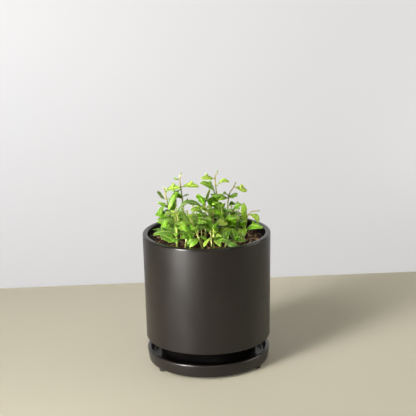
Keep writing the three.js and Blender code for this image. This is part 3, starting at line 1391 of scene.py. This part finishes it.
SPROUTS = (
    Sprout("low_left", (-38, -20), (-44, -23, 148), 20, 0.6),
    Sprout("low_front_a", (-22, -44), (-20, -44, 146), 18, 0.55),
    Sprout("low_front_b", (-17, -47), (-14, -41, 155), 17, 0.5),
    Sprout("low_front_c", (5, -38), (4, -40, 150), 18, 0.55),
    Sprout("low_front_d", (17, -44), (20, -46, 141), 16, 0.9),
    Sprout("low_front_e", (27, -38), (29, -39, 140), 14, 0.75),
    Sprout("low_right", (38, 0), (40, 1, 153), 17, 0.6),
    Sprout("mid_a", (-19, -28), (-21, -29, 157), 21),
    Sprout("mid_b", (-5, -28), (-5, -29, 155), 20),
    Sprout("mid_c", (17, -20), (17, -19, 158), 20, 0.5),
    Sprout("mid_d", (-26, -10), (-30, -12, 161), 20),
    Sprout("mid_e", (-9, -12), (-10, -13, 165), 20),
    Sprout("mid_f", (17, -6), (16, -8, 166), 20),
    Sprout("mid_g", (32, 6), (34, 5, 161), 19),
    Sprout("rear_a", (-13, 10), (-14, 9, 167), 20),
    Sprout("rear_b", (3, 22), (3, 21, 167), 20),
    Sprout("rear_c", (31, 22), (33, 24, 163), 19),
    Sprout("rear_d", (-32, 8), (-35, 9, 158), 19),
    Sprout("rear_e", (-12, 40), (-14, 42, 156), 19),
    Sprout("rear_f", (18, 42), (19, 45, 155), 18),
    Sprout("rear_g", (-36, 32), (-39, 34, 152), 18),
)


@dataclass(frozen=True)
class LeafPlan:
    """A leaf set on a shoot one by one. Lengths are in millimetres."""

    shoot: str
    height: float
    tip: tuple[float, float, float]
    width: float
    arch: float
    roll: float = 0.0
    older: float = 0.0  # than its place on the stem says

    def path(self, stem: Stem) -> LeafPath:
        """The leaf's path from its stem.

        Args:
            stem: the stem that it grows on.

        Returns:
            The path, bowed upwards by arch times its length.
        """
        share = np.linspace(0, 1, len(stem.line))
        where = float(np.interp(self.height * MM, stem.line[:, 2], share))
        start, tip = stem.at(where), np.array(self.tip) * MM
        stem.joints.append(where)
        chord = unit(tip - start)
        level = unit(np.cross(chord, np.array([0.0, 0.0, 1.0])))
        rise = np.cross(level, chord)
        roll = math.radians(self.roll)
        side = level * math.cos(roll) + rise * math.sin(roll)
        bow = np.cross(side, chord) * self.arch * np.linalg.norm(tip - start)
        along = np.linspace(0, 1, 9)[:, None]
        line = start + (tip - start) * along + bow * 4 * along * (1 - along)
        return LeafPath(line, np.tile(side, (9, 1)), self.width, (), stem.age(where) + self.older)


CANOPY_FALL = 0.27  # over each step to the rear

# Height of the canopy's top between the tall shoots, from left to right; it falls to the rear
CANOPY = (
    (-60.0, 150.0),
    (-52.0, 176.0),
    (-39.0, 176.0),
    (-37.0, 163.0),
    (-30.0, 163.0),
    (-27.0, 174.0),
    (-22.0, 160.0),
    (-5.0, 160.0),
    (-2.0, 171.0),
    (24.0, 173.0),
    (28.0, 163.0),
    (42.0, 158.0),
    (48.0, 146.0),
    (60.0, 140.0),
)

# Spans from left to right, and heights from low to high, where the mix shows between the shoots;
# they fall to the rear as the canopy does
CLEARINGS = (
    (-10.0, 0.0, 134.0, 141.0),
    (-28.0, -21.0, 124.0, 130.5),
    (43.0, 60.0, 124.0, 147.0),
    (-60.0, -44.0, 122.0, 133.0),
)

# How old the leaves look whose age isn't what their place on the stem says
LEAF_AGES = {
    "leaf_left_1": 0.3,
    "leaf_left_5": 0.3,
    "leaf_tall_left_1": 0.5,
    "leaf_tall_left_2": 0.25,
    "leaf_tall_centre_1": 0.2,
    "leaf_tall_centre_2": 0.2,
    "leaf_front_left_1": 1.0,
    "leaf_front_left_3": 1.0,
    "leaf_front_left_4": 0.8,
    "leaf_front_1": 0.65,
    "leaf_front_2": 0.7,
    "leaf_front_3": 0.85,
    "leaf_front_right_1": 0.65,
    "leaf_front_right_2": 0.85,
    "leaf_right_2": 0.5,
    "leaf_right_3": 0.3,
    "leaf_centre_2": 0.15,
    "leaf_far_right_4": 0.35,
    "leaf_tall_centre_3": 0.45,
    "leaf_tall_centre_4": 0.45,
    "leaf_tall_right_2": 0.45,
    "leaf_middle_2": 0.6,
    "leaf_right_1": 0.75,
    "leaf_far_right_2": 0.25,
}

# Leaves turned about their own middle line, in degrees, away from the way their solids lie
LEAF_TURNS = {
    "leaf_far_right_2": 30.0,
    "leaf_tall_left_1": 30.0,
}

PLACED_LEAVES = (
    LeafPlan("tall_left", 180, (-39, 11, 160), 6, 0.25, 25, 0.25),
    LeafPlan("tall_left", 169, (-35, 16, 180), 6.5, 0.1, 20, 0.15),
    LeafPlan("left", 170, (-31, 12, 163), 8, 0.25, 35),
    LeafPlan("left", 175, (-35, 22, 183), 7, 0.15, 30, 0.2),
    LeafPlan("left", 162, (-48, 10, 155), 8, 0.25, -20, 0.4),
    LeafPlan("tall_right", 158, (33, 12, 160), 8.5, 0.25, 30),
    LeafPlan("tall_right", 168, (18, 18, 175), 7, 0.15, 30),
    LeafPlan("front", 145, (-17, -53, 139), 8, 0.18, 15),
    LeafPlan("front", 146, (0, -50, 145), 5, 0.2),
    LeafPlan("front_right", 146, (-3, -55, 139), 8, 0.15, -20),
    LeafPlan("front_right", 143, (14, -54, 139), 6, 0.12),
    LeafPlan("low_front_b", 141, (-27, -47, 147), 6, 0.3, 20),
    LeafPlan("low_front_b", 149, (-24, -43, 160), 7.5, 0.15, 35),
    LeafPlan("low_front_d", 139, (31, -47, 138), 8.5, 0.2, -25),
    LeafPlan("low_front_d", 140, (22, -34, 151), 8, 0.15, 20),
    LeafPlan("low_front_e", 139, (40, -32, 139), 8, 0.15, -10),
    LeafPlan("low_front_e", 140, (26, -26, 150), 8.5, 0.1, 10),
    LeafPlan("mid_b", 152, (2, -32, 148), 8, 0.25, 30),
)


@dataclass(frozen=True)
class Habit:
    """How the plant sets its own leaves. Each pair is a range, lengths are in millimetres."""

    newest: float = 0.55  # length of the newest leaves over that of grown ones
    lengths: tuple[float, float] = (0.84, 1.14)
    widths: tuple[float, float] = (0.38, 0.47)  # over the length
    young_rises: tuple[float, float] = (30, 60)  # degrees above the level
    old_rises: tuple[float, float] = (-8, 45)
    arches: tuple[float, float] = (0.14, 0.34)  # bow over the length
    twists: tuple[float, float] = (-0.45, 0.45)
    fins: tuple[tuple[int, ...], ...] = ((), (1,), (-1,), (1,))
    bud_leaves: int = 2
    bud_lengths: tuple[float, float] = (2.6, 3.8)
    bud_width: float = 1.5
    bud_age: float = 0.05
    bud_lean: float = 0.45
    bud_seat: float = 0.6  # how far below the tip its leaves start

    def leaf(
        self, stem: Stem, place: float, turn: float, grown: float, draw: random.Random
    ) -> LeafPath:
        """A leaf as the plant grows them: longer, flatter and more bowed lower down.

        Args:
            stem: the stem that it grows on.
            place: where on the stem, from 0 to 1.
            turn: the way it points, in radians about the vertical.
            grown: length of a grown leaf, in millimetres.
            draw: the seeded source of chance.

        Returns:
            The leaf's path.
        """
        age = stem.age(place)
        length = grown * min(1.0, self.newest + age) * draw.uniform(*self.lengths)
        young_rise, old_rise = draw.uniform(*self.young_rises), draw.uniform(*self.old_rises)
        rise = math.radians(young_rise * (1 - age) + old_rise * age)
        arch = draw.uniform(*self.arches)
        out = np.array([math.cos(turn), math.sin(turn), 0.0])
        up = np.array([0.0, 0.0, 1.0])
        chord = out * math.cos(rise) + up * math.sin(rise)
        side = unit(np.cross(chord, up) + up * draw.uniform(*self.twists))
        where = np.linspace(0, 1, 9)[:, None]
        bow = np.cross(side, chord) * arch * 4 * where * (1 - where)
        line = stem.at(place) + (chord * where + bow) * length * MM
        fins = draw.choice(self.fins)
        width = draw.uniform(*self.widths) * length
        return LeafPath(line, np.tile(side, (9, 1)), width, fins, age)

    def bud(self, stem: Stem, draw: random.Random) -> Iterator[LeafPath]:
        """The tiny folded leaves at the tip of a stem.

        Args:
            stem: the stem that they close.
            draw: the seeded source of chance.

        Yields:
            The path of each tiny leaf.
        """
        tip = stem.at(1.0)
        ahead = unit(tip - stem.at(0.95))
        for number in range(self.bud_leaves):
            turn = number * GOLDEN_ANGLE + draw.uniform(0, 1)
            lean = np.array([math.cos(turn), math.sin(turn), 0.0]) * self.bud_lean
            way = unit(ahead + lean)
            side = unit(np.cross(way, np.array([0.3, 0.2, 1.0])))
            length = draw.uniform(*self.bud_lengths) * MM
            where = np.linspace(0, 1, 5)[:, None]
            bow = np.cross(side, way) * 0.8 * where * (1 - where)
            line = tip - ahead * self.bud_seat * MM + (way * where + bow) * length
            yield LeafPath(line, np.tile(side, (5, 1)), self.bud_width, (), self.bud_age)


@dataclass
class Plant:
    """All the shoots: every CAD stem and leaf, and the growth between them."""

    leaf: Leaf = field(default_factory=Leaf)
    filler: Leaf = field(default_factory=lambda: Leaf(sections=10, stations=22))
    bud_leaf: Leaf = field(default_factory=lambda: Leaf(sections=8, stations=10))
    habit: Habit = Habit()
    seed: int = 7
    leaf_length: float = 19.0  # of a grown leaf on a tall stem
    spacing: float = 4.2  # between leaves along a tall stem
    sprout_spacing: float = 2.4
    attempts: int = 24  # at finding room for a leaf
    clearance: float = 1.3  # between points on two leaves
    stem_clearance: float = 2.1
    free_root: float = 4.0  # length at a leaf's root that may come near others
    search: float = 25.0  # nothing farther from a leaf's middle can touch it
    soil: float = 134.0
    rim_reach: float = 63.5  # from the axis; no leaf goes farther out
    wall_reach: float = 59.5  # no leaf lower than clear_of_rim goes farther out
    clear_of_rim: float = 142.0
    swell: float = 1.17  # width of a blade over that of its CAD solid
    fin_widths: tuple[float, float] = (0.5, 1.3)  # by which one or two fins widen a solid
    bare_above: float = 168.0  # tall stems carry only their CAD leaves above this height
    taken: list[Points] = field(default_factory=list)
    stem_points: list[Points] = field(default_factory=list)

    def build(self) -> list[Object]:
        """Grows the leaves that have CAD solids, then the others, then the stems.

        Returns:
            The finished pieces.
        """
        pieces = []
        draw = random.Random(self.seed)
        nodes = sorted(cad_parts)
        stems = {
            name.removeprefix("stem_"): self._stem_from_solid(name)
            for name in nodes
            if name.startswith("stem_")
        }
        sprouts = [(sprout, sprout.stem(self.soil)) for sprout in SPROUTS]
        for stem in [*stems.values(), *(stem for _, stem in sprouts)]:
            self.stem_points.append(spline(stem.line, np.linspace(0, 1, 30)))
        for node in (name for name in nodes if name.startswith("leaf_")):
            stem = stems[node.removeprefix("leaf_").rsplit("_", 1)[0]]
            blade = self.leaf.build(f"{node}_blade", self._leaf_from_solid(node, stem), draw)
            finish_piece(blade, node)
            pieces.append(blade)
        by_name = stems | {sprout.name: stem for sprout, stem in sprouts}
        placed: dict[str, list[Object]] = {name: [] for name in by_name}
        for number, plan in enumerate(PLACED_LEAVES):
            path = plan.path(by_name[plan.shoot])
            self.taken.append(path.samples())
            placed[plan.shoot].append(self.leaf.build(f"placed_{number}", path, draw))
        for sprout, stem in sprouts:
            own = placed[stem.name]
            pieces += self._fill(stem, self.sprout_spacing, sprout.leaf_length, own, draw)
        for stem in stems.values():
            own = placed[stem.name]
            pieces += self._fill(stem, self.spacing, self.leaf_length, own, draw)
        for name, stem in by_name.items():
            shoot = stem.build()
            finish_piece(shoot, f"stem_{name}" if name in stems else None)
            pieces.append(shoot)
        return pieces

    @staticmethod
    def _stem_from_solid(node: str) -> Stem:
        """Reads a stem's middle line from its CAD solid.

        Args:
            node: the CAD stem.

        Returns:
            The stem, from the root upwards.
        """

        def lowest(shape: BMesh) -> list[BMVert]:
            """The ring at the stem's cut end."""
            return sorted(shape.verts, key=lambda vert: vert.co.z)[:6]

        line = np.array([ring.mean(axis=0) for ring in rings_of(node, lowest)])
        return Stem(node.removeprefix("stem_"), line)

    def _leaf_from_solid(self, node: str, stem: Stem) -> LeafPath:
        """Reads a leaf's path from the rings of its CAD solid.

        Args:
            node: the CAD leaf.
            stem: the stem that it grows on.

        Returns:
            The path, carried back into the stem.
        """

        def off_stem(vert: BMVert) -> float:
            """How far a point of the solid lies from the stem."""
            point = np.array(vert.co)
            return float(np.linalg.norm(stem.at(stem.nearest(point)) - point))

        def foot(shape: BMesh) -> list[BMVert]:
            """The pole of the solid that is nearer the stem."""
            poles = [vert for vert in shape.verts if len(vert.link_edges) == 4]
            return [min(poles, key=off_stem)]

        rings = [ring for ring in rings_of(node, foot) if len(ring) == 4]
        line = np.array([ring.mean(axis=0) for ring in rings])
        sides = np.array([self._widest_pair(ring) for ring in rings])
        for k in range(1, len(sides)):
            if sides[k] @ sides[k - 1] < 0:
                sides[k] = -sides[k]
        lengths = np.linalg.norm(sides, axis=1) / MM
        middle = len(rings) // 2
        width = float(np.delete(lengths, middle).max())
        place = stem.nearest(line[0])
        stem.joints.append(place)
        line = np.vstack([stem.at(place), line])
        sides = unit(np.vstack([sides[1], sides]))
        fin_count = sum(int(lengths[middle] - width > least) for least in self.fin_widths)
        sides, fins = self._facing(line, sides, fin_count)
        turn = math.radians(LEAF_TURNS.get(node, 0.0))
        ahead = unit(np.gradient(line, axis=0))
        sides = sides * math.cos(turn) + np.cross(ahead, sides) * math.sin(turn)
        path = LeafPath(line, sides, width * self.swell, fins, LEAF_AGES.get(node, stem.age(place)))
        self.taken.append(path.samples())
        return path

    @staticmethod
    def _widest_pair(ring: Points) -> Points:
        """The two points of a ring that lie farthest apart.

        Args:
            ring: its points.

        Returns:
            The vector between the two.
        """
        pairs = [(a, b) for i, a in enumerate(ring) for b in ring[i + 1 :]]
        a, b = max(pairs, key=lambda pair: float(np.linalg.norm(pair[0] - pair[1])))
        return b - a

    @staticmethod
    def _facing(line: Points, sides: Points, fin_count: int) -> tuple[Points, tuple[int, ...]]:
        """Turns the sides so that the leaf's upper face looks up, and says which sides have fins.

        Args:
            line: the leaf's middle line.
            sides: unit vectors across it.
            fin_count: how many fins its solid has.

        Returns:
            The sides, turned about if need be, and the finned sides as -1 and 1.
        """
        ahead = unit(np.gradient(line, axis=0))
        normals = np.cross(sides, ahead)
        chord = line[-1] - line[0]
        level = chord[0] ** 2 + chord[1] ** 2
        upright = np.array([-chord[0] * chord[2], -chord[1] * chord[2], level])
        if (normals @ upright).sum() < 0:
            sides = -sides
        high_side = 1 if sides[len(sides) // 2][2] > 0 else -1
        return sides, (high_side, -high_side)[:fin_count]

    def _fill(
        self,
        stem: Stem,
        spacing: float,
        leaf_length: float,
        blades: list[Object],
        draw: random.Random,
    ) -> list[Object]:
        """Grows leaves by the plant's habit wherever there is room, and the bud at the tip.

        Args:
            stem: the stem to fill.
            spacing: between leaves, in millimetres.
            leaf_length: of a grown leaf, in millimetres.
            blades: the leaves that it has already, apart from those with CAD solids.
            draw: the seeded source of chance.

        Returns:
            The joined leaves, if it has any, and the bud.
        """
        heights = stem.line[:, 2] / MM
        share = np.linspace(0, 1, len(heights))
        ends = (self.soil + 1.5, self.bare_above)
        low, high = (float(np.interp(height, heights, share)) for height in ends)
        high = min(high, 0.97)
        count = int(stem.length() * (high - low) / spacing)
        turn = draw.uniform(0, math.tau)
        for number in range(count):
            place = low + (high - low) * (number + draw.uniform(0.2, 0.8)) / max(1, count)
            turn += GOLDEN_ANGLE
            for attempt in range(self.attempts):
                scale = 1 - 0.012 * attempt
                path = self.habit.leaf(stem, place, turn + attempt * 0.7, leaf_length * scale, draw)
                if self._has_room(path):
                    self.taken.append(path.samples())
                    stem.joints.append(place)
                    blades.append(self.filler.build(f"blade_{number}", path, draw))
                    break
        tips = [
            self.bud_leaf.build(f"tip_{number}", path, draw)
            for number, path in enumerate(self.habit.bud(stem, draw))
        ]
        grown = [
            join(parts, name)
            for parts, name in ((blades, f"leaves_{stem.name}_more"), (tips, f"bud_{stem.name}"))
            if parts
        ]
        for piece in grown:
            finish_piece(piece)
        return grown

    def _has_room(self, path: LeafPath) -> bool:
        """Tests a leaf against the rim, the mix, the canopy, other leaves and the stems.

        Args:
            path: the leaf's path.

        Returns:
            True if it touches none of them.
        """
        spots = path.samples()
        x, y, z = spots.T / MM
        out = np.hypot(x, y)
        slanted = z + CANOPY_FALL * y
        if (slanted > np.interp(x, *zip(*CANOPY))).any() or (z < self.soil + 0.3).any():
            return False
        outside = (out > self.rim_reach) | ((out > self.wall_reach) & (z < self.clear_of_rim))
        if outside.any():
            return False
        for left, right, low, high in CLEARINGS:
            if ((x > left) & (x < right) & (slanted > low) & (slanted < high)).any():
                return False
        ahead = spots[np.linalg.norm(spots - path.line[0], axis=1) > self.free_root * MM]
        for others, gap in ((self.taken, self.clearance), (self.stem_points, self.stem_clearance)):
            points = np.vstack(others)
            off_middle = np.linalg.norm(points - spots.mean(axis=0), axis=1)
            near = points[off_middle < self.search * MM]
            if len(near) and np.linalg.norm(ahead[:, None] - near[None], axis=2).min() < gap * MM:
                return False
        return True


# ---------------------------------------------------------------------------------------------
# Studio
# ---------------------------------------------------------------------------------------------


@dataclass(frozen=True)
class SoftLight:
    """An area light. Lengths are in metres."""

    name: str
    place: tuple[float, float, float]
    size: tuple[float, float]
    watts: float
    colour: str
    spread: float = 180.0  # the angle its light fans out over, less with a grid on it
    aim: tuple[float, float, float] = (0.0, 0.0, 0.1)

    def build(self) -> None:
        """Adds the light, turned to what it looks at."""
        bpy.ops.object.light_add(type="AREA", location=self.place)
        light = bpy.context.active_object
        light.name = self.name
        light.data.shape = "RECTANGLE"
        light.data.size, light.data.size_y = self.size
        light.data.energy = self.watts
        light.data.color = linear(self.colour)[:3]
        light.data.spread = math.radians(self.spread)
        way = Vector(self.aim) - Vector(self.place)
        light.rotation_euler = way.to_track_quat("-Z", "Y").to_euler()


# A tall window and a low one with a grid from the front left, a wash on the wall, and weak cards
# in front and at the right
LIGHTS = (
    SoftLight("tall_window", (-1.34, -1.35, 1.15), (0.8, 1.3), 56.5, "#FFFBF7"),
    SoftLight("low_window", (-1.65, -1.6, 0.3), (0.54, 0.36), 2.65, "#FFFDFC", 22.0, (0, 0, -0.02)),
    SoftLight("front_card", (0.9, -2.5, 1.8), (2.0, 1.4), 13.0, "#FFFAF4"),
    SoftLight("wall_wash", (-1.6, 0.6, 0.5), (0.3, 0.3), 2.1, "#FFFDFC", 80.0, (-0.2, 1.5, 0.1)),
    SoftLight("right_card", (1.9, 0.0, 0.6), (1.2, 1.0), 14.0, "#FFF6EA"),
)


@dataclass
class Studio:
    """Pale table top, pale wall, soft daylight from the front left, and the camera."""

    table_edge: float = 0.263  # from the pot's axis to the table's far edge
    table_turn: float = 4.2  # the edge isn't square to the view
    table_paint: str = "#AEAA98"
    wall_distance: float = 1.5
    wall_paint: str = "#E1E3E7"
    surround: str = "#F6F3EE"
    surround_strength: float = 0.365
    camera_distance: float = 1.2561
    camera_elevation: float = 14.97
    camera_roll: float = 1.02
    focal_length: float = 105.2
    aim: tuple[float, float, float] = (0.002, 0.0, 0.1649)

    def build(self) -> None:
        """Makes the stage, the lights, the camera and the colour settings."""
        self._table()
        self._wall()
        self._lights()
        self._camera()
        scene = bpy.context.scene
        scene.view_settings.view_transform = "Standard"
        scene.view_settings.look = "None"

    def _table(self) -> None:
        """A thick board with its far edge behind the pot."""
        depth = 3.0
        table = new_primitive(
            bpy.ops.mesh.primitive_cube_add,
            "table_top",
            size=1,
            scale=(6.0, depth, 0.03),
            location=(0, self.table_edge - depth / 2, -0.015),
        )
        with editing(table):
            bpy.ops.mesh.select_all(action="SELECT")
            bpy.ops.mesh.bevel(offset=0.002, segments=3, affect="EDGES")
        turn = Matrix.Translation((0, self.table_edge, 0)) @ Matrix.Rotation(
            math.radians(self.table_turn), 4, "Z"
        )
        table.data.transform(turn @ Matrix.Translation((0, -self.table_edge, 0)))
        Backdrop("painted_table", self.table_paint).put_on(table)

    def _wall(self) -> None:
        """An upright wall, well behind the table."""
        wall = new_primitive(
            bpy.ops.mesh.primitive_plane_add,
            "studio_wall",
            size=8,
            location=(0, self.wall_distance, 1.5),
            rotation=(math.radians(90), 0, 0),
        )
        with editing(wall):
            bpy.ops.mesh.select_all(action="SELECT")
            bpy.ops.mesh.subdivide(number_cuts=8)
        Backdrop("painted_wall", self.wall_paint).put_on(wall)

    def _lights(self) -> None:
        """The soft lights, and an even surround."""
        for light in LIGHTS:
            light.build()
        world = bpy.data.worlds.new("surround")
        bpy.context.scene.world = world
        world.use_nodes = True
        background = world.node_tree.nodes["Background"]
        background.inputs["Color"].default_value = linear(self.surround)
        background.inputs["Strength"].default_value = self.surround_strength

    def _camera(self) -> None:
        """A long lens that looks down a little."""
        lens = bpy.data.cameras.new("camera")
        lens.lens = self.focal_length
        lens.clip_start = 0.01
        camera = bpy.data.objects.new("camera", lens)
        bpy.context.collection.objects.link(camera)
        tilt = math.radians(self.camera_elevation)
        back = Vector((0, -math.cos(tilt), math.sin(tilt)))
        camera.location = Vector(self.aim) + back * self.camera_distance
        look = (-back).to_track_quat("-Z", "Y").to_matrix()
        roll = Matrix.Rotation(math.radians(-self.camera_roll), 3, "Z")
        camera.rotation_euler = (look @ roll).to_euler()
        bpy.context.scene.camera = camera


def main() -> None:
    """Builds the studio and every sub-assembly, in order."""
    logging.basicConfig(level=logging.INFO, format="%(name)s: %(message)s")
    Studio().build()
    log.info("studio ready")
    for assembly in (Pot(), Saucer(), Pads(), PottingMix(), Plant()):
        for piece in assembly.build():
            log.info("%s has %d faces", piece.name, len(piece.data.polygons))


if __name__ == "__main__":
    main()
